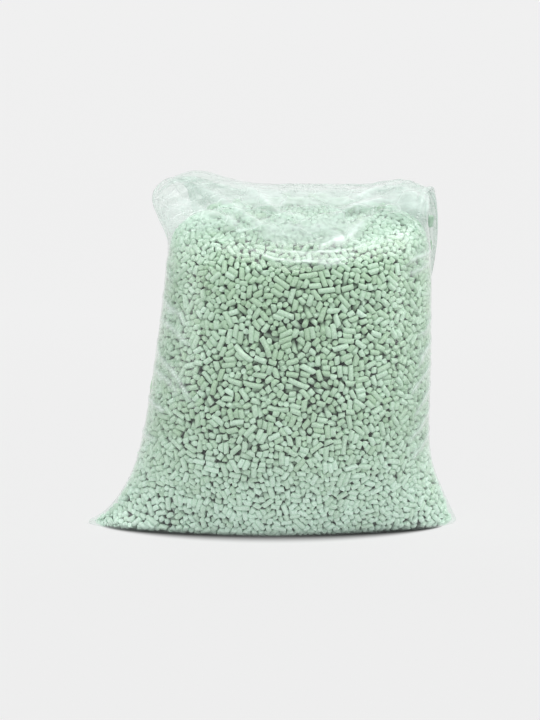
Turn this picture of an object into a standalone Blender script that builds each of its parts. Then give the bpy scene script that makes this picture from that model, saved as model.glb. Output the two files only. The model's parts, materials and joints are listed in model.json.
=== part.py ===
"""Clear film bag of pelleted cat litter, standing on its base with its loose neck folded over behind.

Metres, +Z up. The front faces -Y, the floor is z = 0, and the origin is the middle of the footprint.
One blown film tube with a bottom weld holds one heap of pellets. Two pellets have dropped into the
fold at the right side, and a scatter of separate pellets lies on the crown of the heap.
"""

import math
import random

import bmesh
import bpy
import numpy as np
from mathutils import Euler, Matrix, Vector
from mathutils.bvhtree import BVHTree

# Film
FILM_WALL = 0.0005  # drawn wall; the real film is thinner than a solid can be
FILM_COLUMNS = 48
FILM_RINGS = 41
TIP_LIFT = 0.0016  # how far the corner tips curl off the floor
SEAM_HALF = 0.1140  # half the length of the bottom weld as it lies
EARS = (  # puffed folds along the top of the neck: x, spread, rise
    (-0.040, 0.026, 0.0125),
    (0.081, 0.018, 0.0100),
)
EAR_ROW = 8.0  # neck row where the folds stand highest
EAR_REACH = 3.2  # neck rows over which they fade

# Litter
HEAP_INSET = 0.0019  # from the film's outer face in to the heap
HEAP_TIP_INSET = 0.0145  # the same at the pinched corners, where no pellet fits
HEAP_FLOOR = 0.0013  # height of the heap's underside
HEAP_COLUMNS = 40
PELLET_RADIUS = 0.00175
PELLET_BEVEL = 0.0003
PELLET_SIDES = 12
LOOSE_PELLETS = 20
LOOSE_LENGTHS = (0.0045, 0.0085)
PELLET_SPACING = 0.0060  # least distance between the axes of two loose pellets
TOUCH_GAP = 0.0003  # between solids that rest on each other

# The filled body as level outlines: height, left x, right x, half depth, squareness of the outline.
BODY = (
    (0.0000, -0.1130, 0.1130, 0.0140, 1.45),
    (0.0000, -0.1120, 0.1120, 0.0270, 1.45),
    (0.0000, -0.1110, 0.1110, 0.0370, 1.45),
    (0.0035, -0.1130, 0.1150, 0.0425, 1.48),
    (0.0090, -0.1045, 0.1130, 0.0450, 1.55),
    (0.0180, -0.0965, 0.1090, 0.0490, 1.70),
    (0.0320, -0.0885, 0.1030, 0.0540, 1.90),
    (0.0450, -0.0835, 0.0990, 0.0585, 2.10),
    (0.0600, -0.0793, 0.0972, 0.0612, 2.25),
    (0.0800, -0.0755, 0.0970, 0.0625, 2.40),
    (0.1050, -0.0713, 0.0972, 0.0620, 2.50),
    (0.1350, -0.0672, 0.0972, 0.0605, 2.50),
    (0.1600, -0.0643, 0.0970, 0.0580, 2.50),
)

# The neck as it leaves the body, passes over the crown and folds down behind.
# Each row: left x, y, z; front y, z; right x, y, z; back y, z.
NECK = (
    (-0.0637, 0.001, 0.174, -0.0525, 0.172, 0.0970, 0.001, 0.176, 0.0585, 0.172),
    (-0.0650, 0.003, 0.184, -0.0450, 0.181, 0.0960, 0.004, 0.189, 0.0575, 0.182),
    (-0.0692, 0.008, 0.192, -0.0330, 0.188, 0.0955, 0.008, 0.198, 0.0565, 0.190),
    (-0.0730, 0.014, 0.199, -0.0200, 0.194, 0.0958, 0.013, 0.204, 0.0555, 0.197),
    (-0.0742, 0.022, 0.204, -0.0070, 0.200, 0.0970, 0.020, 0.207, 0.0545, 0.203),
    (-0.0725, 0.030, 0.207, 0.0060, 0.205, 0.0995, 0.027, 0.206, 0.0560, 0.207),
    (-0.0675, 0.037, 0.207, 0.0180, 0.209, 0.1025, 0.032, 0.201, 0.0600, 0.204),
    (-0.0605, 0.043, 0.202, 0.0300, 0.2115, 0.1048, 0.036, 0.192, 0.0630, 0.195),
    (-0.0540, 0.049, 0.192, 0.0420, 0.212, 0.1056, 0.040, 0.178, 0.0650, 0.182),
    (-0.0500, 0.054, 0.175, 0.0530, 0.208, 0.1046, 0.045, 0.161, 0.0660, 0.168),
    (-0.0470, 0.059, 0.153, 0.0620, 0.201, 0.1010, 0.053, 0.139, 0.0665, 0.150),
    (-0.0440, 0.063, 0.128, 0.0675, 0.192, 0.0940, 0.059, 0.115, 0.0670, 0.130),
)
NECK_SQUARE = 3.4

# The crown of the heap, in the same order as the neck rows.
CROWN = (
    (-0.0612, 0.001, 0.172, -0.0500, 0.1690, 0.0945, 0.001, 0.174, 0.0560, 0.172),
    (-0.0592, 0.004, 0.181, -0.0430, 0.1770, 0.0922, 0.005, 0.184, 0.0545, 0.184),
    (-0.0525, 0.009, 0.189, -0.0290, 0.1845, 0.0850, 0.010, 0.192, 0.0500, 0.193),
    (-0.0380, 0.014, 0.1960, -0.0110, 0.1925, 0.0690, 0.015, 0.1985, 0.0430, 0.199),
    (-0.0170, 0.019, 0.2005, 0.0060, 0.1985, 0.0440, 0.020, 0.2025, 0.0340, 0.2025),
    (0.0060, 0.022, 0.2025, 0.0180, 0.2020, 0.0200, 0.022, 0.2030, 0.0260, 0.2032),
)
CROWN_SQUARE = 2.4

# Two pellets caught in the fold at the right: x, z, length, lean to the right in degrees.
STRAYS = {
    "stray_pellet_upper": (0.1014, 0.1885, 0.0072, 5.0),
    "stray_pellet_lower": (0.1012, 0.1730, 0.0058, -5.0),
}
FOLD_NEAR = 0.022  # the fold hangs behind this y


def body_station(height, left, right, depth, square):
    """Guide values of a level outline, with the corner tips kept a little off the floor."""
    edge = max(height, TIP_LIFT)
    return (left, 0, edge, -depth, height, right, 0, edge, depth, height, square, 8.0)


def film_stations():
    """The tube's rings from the bottom weld to the mouth."""
    seam = body_station(0, -SEAM_HALF, SEAM_HALF, 0, BODY[0][4])
    body = [body_station(*level) for level in BODY]
    neck = [(*row, NECK_SQUARE, 4.0) for row in NECK]
    return np.array([seam, *body, *neck])


def heap_stations():
    """The heap's rings from its underside to the crown, a little inside the film."""
    rows = []
    for height, left, right, depth, square in BODY[2:]:
        pinch = (2.5 - square) / (2.5 - BODY[0][4])
        side = HEAP_INSET + (HEAP_TIP_INSET - HEAP_INSET) * pinch
        height = max(height, HEAP_FLOOR)
        inner = depth - HEAP_INSET
        rows.append((left + side, 0, height, -inner, height, right - side, 0, height, inner, height, square, 8.0))
    crown = [(*row, CROWN_SQUARE, 4.0) for row in CROWN]
    return np.array(rows + crown)


def spline(keys, places):
    """Values at each place along a Catmull-Rom spline through the key rows, one key per unit."""
    padded = np.vstack([2 * keys[0] - keys[1], keys, 2 * keys[-1] - keys[-2]])
    rows = []
    for place in places:
        i = min(int(place), len(keys) - 2)
        t = place - i
        before, start, end, after = padded[i : i + 4]
        slope_in, slope_out = (end - before) / 2, (after - start) / 2
        rows.append(
            start * (2 * t**3 - 3 * t**2 + 1)
            + end * (3 * t**2 - 2 * t**3)
            + slope_in * (t**3 - 2 * t**2 + t)
            + slope_out * (t**3 - t**2)
        )
    return np.array(rows)


def ring_points(row, columns):
    """One ring through its four guide points, starting at the right edge and going round by the back."""
    left, front, right, back = row[0:3], row[3:5], row[5:8], row[8:10]
    square, edge = row[10], row[11]
    middle = (left + right) / 2
    angles = np.arange(columns) * 2 * math.pi / columns
    cosine, sine = np.round(np.cos(angles), 9), np.round(np.sin(angles), 9)
    across, along = np.abs(cosine) ** (2 / square), np.abs(sine) ** (2 / square)
    side = np.where(cosine[:, None] > 0, right, left)
    face = np.where(sine[:, None] > 0, back, front)
    x = middle[0] + across * (side[:, 0] - middle[0])
    y = middle[1] + across * (side[:, 1] - middle[1]) + along * (face[:, 0] - middle[1])
    z = face[:, 1] + (side[:, 2] - face[:, 1]) * across**edge
    return np.stack([x, y, np.maximum(z, 0)], axis=1)


def film_rings():
    """The tube as rings of points, with its two puffed folds raised."""
    stations = film_stations()
    places = np.linspace(0, len(stations) - 1, FILM_RINGS)
    ear_place = 1 + len(BODY) + EAR_ROW
    rings = []
    for place, row in zip(places, spline(stations, places)):
        ring = ring_points(row, FILM_COLUMNS)
        share = math.exp(-(((place - ear_place) / EAR_REACH) ** 2))
        for x, spread, rise in EARS:
            ring[:, 2] += rise * share * np.exp(-(((ring[:, 0] - x) / spread) ** 2))
        rings.append(ring)
    return rings


def heap_rings():
    stations = heap_stations()
    places = np.linspace(0, len(stations) - 1, len(stations))
    return [ring_points(row, HEAP_COLUMNS) for row in spline(stations, places)]


def lofted(name, rings, close_ends):
    """A mesh skinned through equal rings of points; close_ends caps the first and last ring."""
    shape = bmesh.new()
    loops = [[shape.verts.new(point) for point in ring] for ring in rings]
    count = len(rings[0])
    for lower, upper in zip(loops, loops[1:]):
        for i in range(count):
            j = (i + 1) % count
            shape.faces.new((lower[i], lower[j], upper[j], upper[i]))
    if close_ends:
        shape.faces.new(loops[0][::-1])
        shape.faces.new(loops[-1])
    bmesh.ops.remove_doubles(shape, verts=shape.verts, dist=0.00001)
    bmesh.ops.dissolve_degenerate(shape, edges=shape.edges, dist=0.00001)
    return finish_mesh(name, shape)


def finish_mesh(name, shape):
    for face in shape.faces:
        face.smooth = True
    mesh = bpy.data.meshes.new(name)
    shape.to_mesh(mesh)
    shape.free()
    return mesh


def pellet_mesh(name, length):
    """A cut length of extruded litter with slightly rounded ends, along z about the origin."""
    shape = bmesh.new()
    bmesh.ops.create_cone(
        shape,
        cap_ends=True,
        segments=PELLET_SIDES,
        radius1=PELLET_RADIUS,
        radius2=PELLET_RADIUS,
        depth=length,
    )
    rims = [edge for edge in shape.edges if abs(edge.verts[0].co.z - edge.verts[1].co.z) < length / 2]
    bmesh.ops.bevel(shape, geom=rims, offset=PELLET_BEVEL, segments=1, affect="EDGES")
    return finish_mesh(name, shape)


def add_object(name, mesh, material, collection):
    part = bpy.data.objects.new(name, mesh)
    mesh.materials.append(material)
    collection.objects.link(part)
    return part


def material_of(name, colour, roughness, alpha):
    material = bpy.data.materials.new(name)
    material.use_nodes = True
    shader = material.node_tree.nodes["Principled BSDF"]
    shader.inputs["Base Color"].default_value = (*colour, 1)
    shader.inputs["Roughness"].default_value = roughness
    shader.inputs["Alpha"].default_value = alpha
    return material


def build_film(collection):
    """The bag itself: one open tube, welded shut along the bottom, given a wall on its inner side."""
    part = add_object(
        "film_bag",
        lofted("film_bag", film_rings(), close_ends=False),
        material_of("clear_film", (0.86, 0.90, 0.88), 0.12, 0.25),
        collection,
    )
    wall = part.modifiers.new("wall", "SOLIDIFY")
    wall.thickness = FILM_WALL
    wall.offset = -1
    return part


def build_heap(collection):
    """All the litter that fills the bag, as one heap."""
    return add_object(
        "pellet_fill",
        lofted("pellet_fill", heap_rings(), close_ends=True),
        material_of("litter_heap", (0.39, 0.55, 0.42), 0.85, 1),
        collection,
    )


def fold_middle(tree, x, z):
    """Midway between the two layers of the hanging fold, at one place in the front view."""
    front, _, _, _ = tree.ray_cast(Vector((x, FOLD_NEAR, z)), Vector((0, 1, 0)))
    back, _, _, _ = tree.ray_cast(Vector((x, 0.2, z)), Vector((0, -1, 0)))
    return (front + back) / 2


def build_strays(collection):
    """The two pellets caught in the fold of film at the right."""
    sheet = bmesh.new()
    sheet.from_mesh(collection.objects["film_bag"].data)
    tree = BVHTree.FromBMesh(sheet)
    sheet.free()
    for name, (x, z, length, lean_right) in STRAYS.items():
        above, below = fold_middle(tree, x, z + length / 2), fold_middle(tree, x, z - length / 2)
        centre = (above + below) / 2
        lean_back = math.degrees(math.atan2(below.y - above.y, length))
        pellet = add_object(
            name,
            pellet_mesh(name, length),
            material_of(name, (0.40, 0.58, 0.44), 0.8, 1),
            collection,
        )
        turn = Euler((math.radians(lean_back), math.radians(lean_right), 0))
        pellet.data.transform(Matrix.Translation(centre) @ turn.to_matrix().to_4x4())


def axis_gap(start, end, other_start, other_end):
    """Shortest distance between two short straight axes, sampled along both."""
    steps = np.linspace(0, 1, 9)
    here = [start.lerp(end, step) for step in steps]
    there = [other_start.lerp(other_end, step) for step in steps]
    return min((a - b).length for a in here for b in there)


def build_loose(collection, heap):
    """Single pellets lying on the crown of the heap, under the film, none touching another."""
    surface = bmesh.new()
    surface.from_mesh(heap.data)
    tree = BVHTree.FromBMesh(surface)
    surface.free()
    rng = random.Random(11)
    placed = []
    down = Vector((0, 0, -1))
    while len(placed) < LOOSE_PELLETS:
        x, y = rng.uniform(-0.045, 0.078), rng.uniform(-0.026, 0.036)
        length, heading = rng.uniform(*LOOSE_LENGTHS), rng.uniform(0, math.pi)
        half = Vector((math.cos(heading), math.sin(heading), 0)) * length / 2
        ends = []
        for side in (-1, 1):
            spot = Vector((x, y, 0)) + half * side
            hit, normal, _, _ = tree.ray_cast(Vector((spot.x, spot.y, 0.3)), down)
            ends.append(hit + normal * (PELLET_RADIUS + TOUCH_GAP))
        axis = [ends[0].lerp(ends[1], step) for step in np.linspace(0, 1, 9)]
        nearest = min(tree.find_nearest(point)[3] for point in axis)
        rise = max(PELLET_RADIUS + TOUCH_GAP - nearest, 0) * 1.1
        ends = [end + Vector((0, 0, rise)) for end in ends]
        if any(axis_gap(*ends, *other) < PELLET_SPACING for other in placed):
            continue
        placed.append(ends)
        name = f"loose_pellet_{len(placed):02d}"
        pellet = add_object(
            name,
            pellet_mesh(name, length),
            material_of(name, (0.40, 0.58, 0.44), 0.8, 1),
            collection,
        )
        turn = (ends[1] - ends[0]).to_track_quat("Z", "Y").to_matrix().to_4x4()
        pellet.data.transform(Matrix.Translation((ends[0] + ends[1]) / 2) @ turn)


def centre_footprint(collection):
    """Moves every piece alike so that the bag's box stands centred over the origin."""
    film = collection.objects["film_bag"].data
    points = np.array([vertex.co for vertex in film.vertices])
    middle = (points.min(axis=0) + points.max(axis=0)) / 2
    shift = Matrix.Translation((-middle[0], -middle[1], 0))
    for part in collection.objects:
        part.data.transform(shift)


def main():
    for old in list(bpy.data.objects):
        bpy.data.objects.remove(old, do_unlink=True)
    collection = bpy.data.collections.new("cat_litter_bag")
    bpy.context.scene.collection.children.link(collection)
    build_film(collection)
    heap = build_heap(collection)
    build_strays(collection)
    build_loose(collection, heap)
    centre_footprint(collection)


main()
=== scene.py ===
"""Clear film bag full of pelleted cat litter: the visual model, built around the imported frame."""

import functools
import json
import math

import bmesh
import bpy
import numpy as np
from bpy.props import FloatProperty, FloatVectorProperty, IntProperty, PointerProperty
from bpy.types import Operator, Panel, PropertyGroup
from mathutils import Matrix, Vector
from mathutils.bvhtree import BVHTree
from mathutils.kdtree import KDTree

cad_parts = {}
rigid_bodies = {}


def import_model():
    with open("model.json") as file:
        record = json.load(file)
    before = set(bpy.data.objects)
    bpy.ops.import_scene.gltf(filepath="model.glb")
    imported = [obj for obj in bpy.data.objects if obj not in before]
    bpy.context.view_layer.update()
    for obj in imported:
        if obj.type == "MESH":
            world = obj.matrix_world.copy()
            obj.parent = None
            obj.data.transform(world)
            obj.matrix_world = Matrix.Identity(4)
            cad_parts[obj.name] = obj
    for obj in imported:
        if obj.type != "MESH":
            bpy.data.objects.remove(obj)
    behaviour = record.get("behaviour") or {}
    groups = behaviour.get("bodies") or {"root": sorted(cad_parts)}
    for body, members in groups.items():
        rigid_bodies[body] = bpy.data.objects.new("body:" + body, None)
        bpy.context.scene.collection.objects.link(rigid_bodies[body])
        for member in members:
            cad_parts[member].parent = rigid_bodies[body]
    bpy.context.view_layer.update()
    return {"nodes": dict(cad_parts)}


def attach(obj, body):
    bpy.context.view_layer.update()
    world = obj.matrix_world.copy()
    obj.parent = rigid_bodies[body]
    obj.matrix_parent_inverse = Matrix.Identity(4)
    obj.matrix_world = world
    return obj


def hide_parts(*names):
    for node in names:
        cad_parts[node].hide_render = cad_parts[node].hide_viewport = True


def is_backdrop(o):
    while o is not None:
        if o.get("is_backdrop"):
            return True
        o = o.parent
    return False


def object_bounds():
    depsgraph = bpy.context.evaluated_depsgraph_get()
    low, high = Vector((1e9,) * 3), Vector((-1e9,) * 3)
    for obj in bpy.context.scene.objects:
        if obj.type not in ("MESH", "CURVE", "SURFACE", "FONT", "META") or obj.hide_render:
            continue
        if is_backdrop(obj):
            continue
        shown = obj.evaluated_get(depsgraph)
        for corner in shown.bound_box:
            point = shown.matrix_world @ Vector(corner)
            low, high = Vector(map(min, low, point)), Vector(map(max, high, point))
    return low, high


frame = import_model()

bl_info = {
    "name": "Cat litter bag",
    "version": (1, 0, 0),
    "blender": (4, 5, 0),
    "location": "View3D > Sidebar > Litter bag",
    "description": "Builds a clear film bag full of extruded litter pellets",
    "category": "Add Mesh",
}

ROOT = "root"

# The filled body as level outlines: height, left x, right x, half depth, squareness of the outline.
BODY = (
    (0.0000, -0.1130, 0.1130, 0.0140, 1.45),
    (0.0000, -0.1120, 0.1120, 0.0270, 1.45),
    (0.0000, -0.1110, 0.1110, 0.0370, 1.45),
    (0.0035, -0.1130, 0.1150, 0.0425, 1.48),
    (0.0090, -0.1045, 0.1130, 0.0450, 1.55),
    (0.0180, -0.0965, 0.1090, 0.0490, 1.70),
    (0.0320, -0.0885, 0.1030, 0.0540, 1.90),
    (0.0450, -0.0835, 0.0990, 0.0585, 2.10),
    (0.0600, -0.0793, 0.0972, 0.0612, 2.25),
    (0.0800, -0.0755, 0.0970, 0.0625, 2.40),
    (0.1050, -0.0713, 0.0972, 0.0620, 2.50),
    (0.1350, -0.0672, 0.0972, 0.0605, 2.50),
    (0.1600, -0.0643, 0.0970, 0.0580, 2.50),
)

# The neck as it leaves the body, passes over the crown and folds down behind.
# Each row: left x, y, z; front y, z; right x, y, z; back y, z.
NECK = (
    (-0.0637, 0.001, 0.174, -0.0525, 0.172, 0.0970, 0.001, 0.176, 0.0585, 0.172),
    (-0.0650, 0.003, 0.184, -0.0450, 0.181, 0.0960, 0.004, 0.189, 0.0575, 0.182),
    (-0.0692, 0.008, 0.192, -0.0330, 0.188, 0.0955, 0.008, 0.198, 0.0565, 0.190),
    (-0.0730, 0.014, 0.199, -0.0200, 0.194, 0.0958, 0.013, 0.204, 0.0555, 0.197),
    (-0.0742, 0.022, 0.204, -0.0070, 0.200, 0.0970, 0.020, 0.207, 0.0545, 0.203),
    (-0.0725, 0.030, 0.207, 0.0060, 0.205, 0.0995, 0.027, 0.206, 0.0560, 0.207),
    (-0.0675, 0.037, 0.207, 0.0180, 0.209, 0.1025, 0.032, 0.201, 0.0600, 0.204),
    (-0.0605, 0.043, 0.202, 0.0300, 0.2115, 0.1048, 0.036, 0.192, 0.0630, 0.195),
    (-0.0540, 0.049, 0.192, 0.0420, 0.212, 0.1056, 0.040, 0.178, 0.0650, 0.182),
    (-0.0500, 0.054, 0.175, 0.0530, 0.208, 0.1046, 0.045, 0.161, 0.0660, 0.168),
    (-0.0470, 0.059, 0.153, 0.0620, 0.201, 0.1010, 0.053, 0.139, 0.0665, 0.150),
    (-0.0440, 0.063, 0.128, 0.0675, 0.192, 0.0940, 0.059, 0.115, 0.0670, 0.130),
)
NECK_SQUARE = 3.4
SEAM_HALF = 0.1140  # half length of the bottom weld
TIP_LIFT = 0.0016  # lowest height of the tube's two side edges
# The neck's puffed folds: middle x, spread, rise. They peak at one ring and fade over some rings.
EARS = ((-0.051, 0.024, 0.0178), (0.089, 0.018, 0.0128))
EAR_ROW = 8.0
EAR_REACH = 3.2

# The crown of the heap, in the same order as the neck rows.
CROWN = (
    (-0.0618, 0.001, 0.173, -0.0508, 0.1705, 0.0950, 0.001, 0.175, 0.0566, 0.173),
    (-0.0598, 0.004, 0.182, -0.0436, 0.1783, 0.0930, 0.005, 0.185, 0.0552, 0.185),
    (-0.0535, 0.009, 0.1902, -0.0298, 0.1857, 0.0858, 0.010, 0.1932, 0.0507, 0.1942),
    (-0.0388, 0.014, 0.1972, -0.0118, 0.1937, 0.0696, 0.015, 0.1997, 0.0437, 0.2002),
    (-0.0176, 0.019, 0.2016, 0.0052, 0.1996, 0.0446, 0.020, 0.2036, 0.0346, 0.2036),
    (0.0060, 0.022, 0.2036, 0.0180, 0.2031, 0.0200, 0.022, 0.2041, 0.0260, 0.2043),
)
CROWN_SQUARE = 2.4
BED_INSET = 0.0006
CORNER_REACH = 0.0028  # how far the filled base corners draw the film out
SIDE_SPREAD = 0.0012  # how much further the litter bulges into the narrow sides

# Creases in the film as seen from the front, in millimetres: height, half width, then x and height up
# along each fold. The left side's come first, then the right side's, the front edge's and the neck's.
CREASES = (
    (1.3, 1.6, (-66.8, 142.7), (-61.6, 134.9), (-54.7, 130.6), (-50.3, 120.2)),
    (1.3, 1.6, (-67.6, 128.8), (-59, 121.9), (-52.1, 114.1), (-46, 109.8)),
    (1.3, 1.6, (-70.2, 115), (-67.6, 106.3), (-59, 95.9), (-43.4, 71.7)),
    (1.3, 1.6, (-72.8, 99.4), (-62.4, 90.7), (-53.8, 80.3)),
    (1.3, 1.6, (-78, 82.1), (-69.4, 75.2), (-62.4, 71.7)),
    (1.3, 1.6, (-82.4, 61.3), (-74.6, 56.1), (-69.4, 54.4)),
    (1.3, 1.6, (-64.2, 165.2), (-62.4, 154.8), (-59.9, 149.6)),
    (1.3, 1.6, (96.8, 130.6), (90.8, 120.2), (84.7, 116.7)),
    (1.3, 1.6, (97.2, 116.7), (89.9, 106.3), (86.4, 95.9)),
    (1.3, 1.6, (96.8, 101.1), (86.4, 89), (81.2, 80.3)),
    (1.3, 1.6, (96.8, 89), (88.2, 75.2), (83, 66.5)),
    (1.3, 1.6, (96, 75.2), (88.2, 61.3), (79.5, 52.6)),
    (1.3, 1.6, (96.8, 61.3), (89.9, 50.9), (81.2, 40.5)),
    (1.3, 1.6, (77.8, 158.3), (84.7, 164.3), (93.4, 167.8), (97.2, 175.6)),
    (1.3, 1.6, (81.2, 154.8), (89, 158.3), (96, 163.4)),
    (1.1, 1.5, (-12.2, 168.6), (-0.1, 162.6), (15.5, 160.8), (36.2, 161.7), (53.5, 165.2)),
    (1.1, 1.5, (1.6, 167.8), (18.9, 166), (41.4, 167.8), (58.7, 170.4)),
    (1.1, 1.5, (12, 163.4), (32.8, 159.1), (46.6, 160.8)),
    (1.3, 2.4, (-67.6, 205), (-53.8, 199.8), (-41.7, 192.9), (-26.1, 187.7), (-12.2, 170.4)),
    (1.3, 2.4, (-52.1, 213.7), (-36.5, 205), (-19.2, 192.9), (-1.9, 180.8), (8.5, 170.4)),
    (1.3, 2.4, (-62.4, 196.3), (-46.9, 194.6), (-33, 190.3)),
    (1.3, 2.4, (-22.6, 215.4), (-8.8, 206.7), (1.6, 192.9), (24.1, 186.8)),
    (1.3, 2.4, (46.6, 199.8), (60.5, 208.5), (81.2, 215.4)),
    (1.3, 2.4, (70.9, 211.9), (83, 208.5), (93.4, 199.8), (96.8, 191.1)),
    (1.3, 2.4, (81.2, 214.5), (83.8, 205), (90.8, 197.2)),
    (1.3, 2.4, (36.2, 190.3), (53.5, 198.1), (67.4, 201.5), (79.5, 199.8)),
    (1.3, 2.4, (27.6, 170.4), (44.9, 177.3), (62.2, 192.9)),
)
FRONT_TILT = math.radians(6)

# Painted highlights where the film is painted whitest, for the key light's reflection seen from the front:
# middle x and height up, reach across and up, whiteness.
PAINTED_GLARES = (
    (0.020, 0.180, 0.033, 0.0095, 0.38),
    (0.022, 0.204, 0.045, 0.0080, 0.40),
    (-0.030, 0.187, 0.022, 0.0060, 0.12),
    (0.084, 0.201, 0.015, 0.0080, 0.42),
)

PELLET_KINDS = (0.97, 1.15, 1.35, 1.55, 1.75, 2.0, 2.3, 2.7, 3.3, 4.2)  # lengths in diameters
KIND_COPIES = 3
PELLET_SIDES = 8
LENGTH_LIMITS = (0.95, 4.4)  # in diameters
MIDDLE_X, MIDDLE_HEIGHT = 0.012, 0.135  # where the litter at the front lies loosest and is tinted darkest
LOOSE_REACH = (0.036, 0.042)  # how far the loose litter goes, across and up
MIDDLE_TINT_REACH = (0.04, 0.045)  # how far the darker tint of the middle goes
PACK_STEPS = 110
SWELL_STEPS = 60  # the steps that press the layer out against the film
SWELL = 0.00010  # by this much a step
TOUCH = 0.985  # distance at which pellets touch, in diameters
SINGLE_REACH = 0.014  # how near the middle of a single pellet can be felt
SINGLE_RADIUS = 0.00175
TINY = 1e-7
SIDES = ("front", "back", "left", "right", "crown", "base")
CRUMB_TRIES = 26000
CRUMB_SIZES = (0.22, 0.62)  # smallest and largest, in pellet radii
CRUMB_DEPTHS = (0.0005, 0.004)
PELLETS_FROM_FLOOR = 0.0003
PELLET_PALE = "D8EFDD"
PELLET_DEEP = "BAD5B9"
# the colour of the painted shade deep between the pellets
PELLET_SHADE = "182A1A"
# the colours of the painted shade in the heap's hidden middle
CORE_PALE = "4F7053"
CORE_DARK = "2C3D30"
FILM_MILK = "DEEEE7"

# The film is relaxed on finer and finer grids: rings, columns, steps, stiffness.
FILM_GRIDS = ((51, 72, 160, 0.04), (101, 144, 110, 0.08), (201, 288, 60, 0.12))
FINE_FILM = (262, 376)
SPARE_FROM, SPARE_OVER = 0.075, 0.06  # how far up the film its spare width starts, and over what length
SPARE_SHARE = 0.45
NECK_FROM, NECK_OVER = 0.165, 0.05

FOOTPRINT = (0.106, 0.034)  # half length and half depth of the bag's stance
SHADE_REACH = 0.024  # how far the contact shade goes under the middle of the bag
SKY = 0.40  # even light from overhead
SKY_LOW = 0.86  # and at the horizon
BACKDROP_TONE = 0.856  # how bright the paper looks, lit and glowing together

FIELD_STEP = 0.0025
PELLET_NODES = [n for n in frame["nodes"] if n.startswith(("loose_pellet", "stray_pellet"))]


# ---------------------------------------------------------------- small helpers


def hex_colour(text):
    """A linear colour from an sRGB hex string."""
    values = [int(text[i : i + 2], 16) / 255 for i in (0, 2, 4)]
    return tuple(v / 12.92 if v <= 0.04045 else ((v + 0.055) / 1.055) ** 2.4 for v in values)


def add_node(tree, kind, settings=None, links=None):
    """Adds a node; settings are its properties or socket values, links are the sockets that feed it."""
    made = tree.nodes.new(kind)
    for key, value in (settings or {}).items():
        if isinstance(key, str) and hasattr(made, key):
            setattr(made, key, value)
        else:
            made.inputs[key].default_value = value
    for key, source in (links or {}).items():
        tree.links.new(source, made.inputs[key])
    return made


def blank_material(name):
    """A material with an empty node tree."""
    material = bpy.data.materials.new(name)
    material.use_nodes = True
    material.node_tree.nodes.clear()
    return material


def add_piece(name, mesh, material):
    """An object of that mesh and material in the scene."""
    mesh.materials.clear()
    mesh.materials.append(material)
    piece = bpy.data.objects.new(name, mesh)
    bpy.context.scene.collection.objects.link(piece)
    return piece


# ---------------------------------------------------------------- distance to the heap


class DistanceField:
    """Signed distance to the heap of litter on a grid, negative inside, with its slope."""

    def __init__(self, tree, low, high):
        self.low = np.array(low)
        self.counts = np.ceil((np.array(high) - self.low) / FIELD_STEP).astype(int) + 1
        axes = [self.low[k] + FIELD_STEP * np.arange(self.counts[k]) for k in range(3)]
        values = np.empty(self.counts)
        for i, x in enumerate(axes[0]):
            for j, y in enumerate(axes[1]):
                for k, z in enumerate(axes[2]):
                    here = Vector((x, y, z))
                    spot, normal, _, distance = tree.find_nearest(here)
                    values[i, j, k] = distance if (here - spot).dot(normal) > 0 else -distance
        self.points = np.stack(np.meshgrid(*axes, indexing="ij"), axis=-1)
        self.set_values(values)

    def set_values(self, values):
        """Takes the distances and works out their slopes."""
        slopes = np.gradient(values, FIELD_STEP)
        self.grid = np.stack([values, *slopes], axis=-1)

    def sample(self, points):
        """Distance and outward direction at each point."""
        place = np.clip((points - self.low) / FIELD_STEP, 0, self.counts - 1.001)
        cell = place.astype(int)
        share = place - cell
        total = 0
        for corner in range(8):
            offset = np.array([corner & 1, corner >> 1 & 1, corner >> 2 & 1])
            weight = np.prod(np.where(offset, share, 1 - share), axis=-1)
            index = cell + offset
            total = total + weight[..., None] * self.grid[index[..., 0], index[..., 1], index[..., 2]]
        slope = total[..., 1:]
        slope = slope / np.maximum(np.linalg.norm(slope, axis=-1, keepdims=True), 1e-9)
        return total[..., 0], slope

    def with_rods(self, rods, radius):
        """The same field grown by round rods, given as pairs of ends."""
        values = self.grid[..., 0].copy()
        for start, end in rods:
            span = end - start
            along = np.clip((self.points - start) @ span / (span @ span), 0, 1)
            near = np.linalg.norm(self.points - (start + along[..., None] * span), axis=-1)
            values = np.minimum(values, near - radius)
        other = object.__new__(DistanceField)
        other.low, other.counts, other.points = self.low, self.counts, self.points
        other.set_values(values)
        return other


def bed_rings():
    """The space the litter fills, out to the film, as rings from the floor to the crown."""
    rows = []
    for height, left, right, depth, square in BODY[2:]:
        side, drawn = BED_INSET * (1 + 3.4 * max(2.5 - square, 0)), CORNER_REACH * math.exp(-height / 0.008)
        left, right = left + side - drawn, right - side + 0.4 * drawn
        height = max(height, BED_INSET)
        deep = depth - BED_INSET
        rows.append((left, 0, height, -deep, height, right, 0, height, deep, height, square, 8.0))
    rows += [(*row, CROWN_SQUARE, 4.0) for row in CROWN]
    places = np.linspace(0, len(rows) - 1, 3 * len(rows) - 2)
    rings = [guide_ring(row, -99, 72) for row in spline(np.array(rows), places)]
    shift = guide_shift()
    return [ring - shift for ring in rings]


def bed_mesh():
    """The filled space as a closed shape."""
    shape = bmesh.new()
    loops = [[shape.verts.new(point) for point in ring] for ring in bed_rings()]
    for lower, upper in zip(loops, loops[1:]):
        for i in range(len(lower)):
            j = (i + 1) % len(lower)
            shape.faces.new((lower[i], lower[j], upper[j], upper[i]))
    shape.faces.new(loops[0][::-1])
    shape.faces.new(loops[-1])
    bmesh.ops.triangulate(shape, faces=shape.faces)
    return shape


@functools.lru_cache(maxsize=None)
def heap_field():
    """The distance to the bed of litter, worked out once."""
    shape = bed_mesh()
    tree = BVHTree.FromBMesh(shape)
    shape.free()
    low, high = (np.array(corner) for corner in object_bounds())
    return DistanceField(tree, low - 0.012, high + 0.012)


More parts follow.
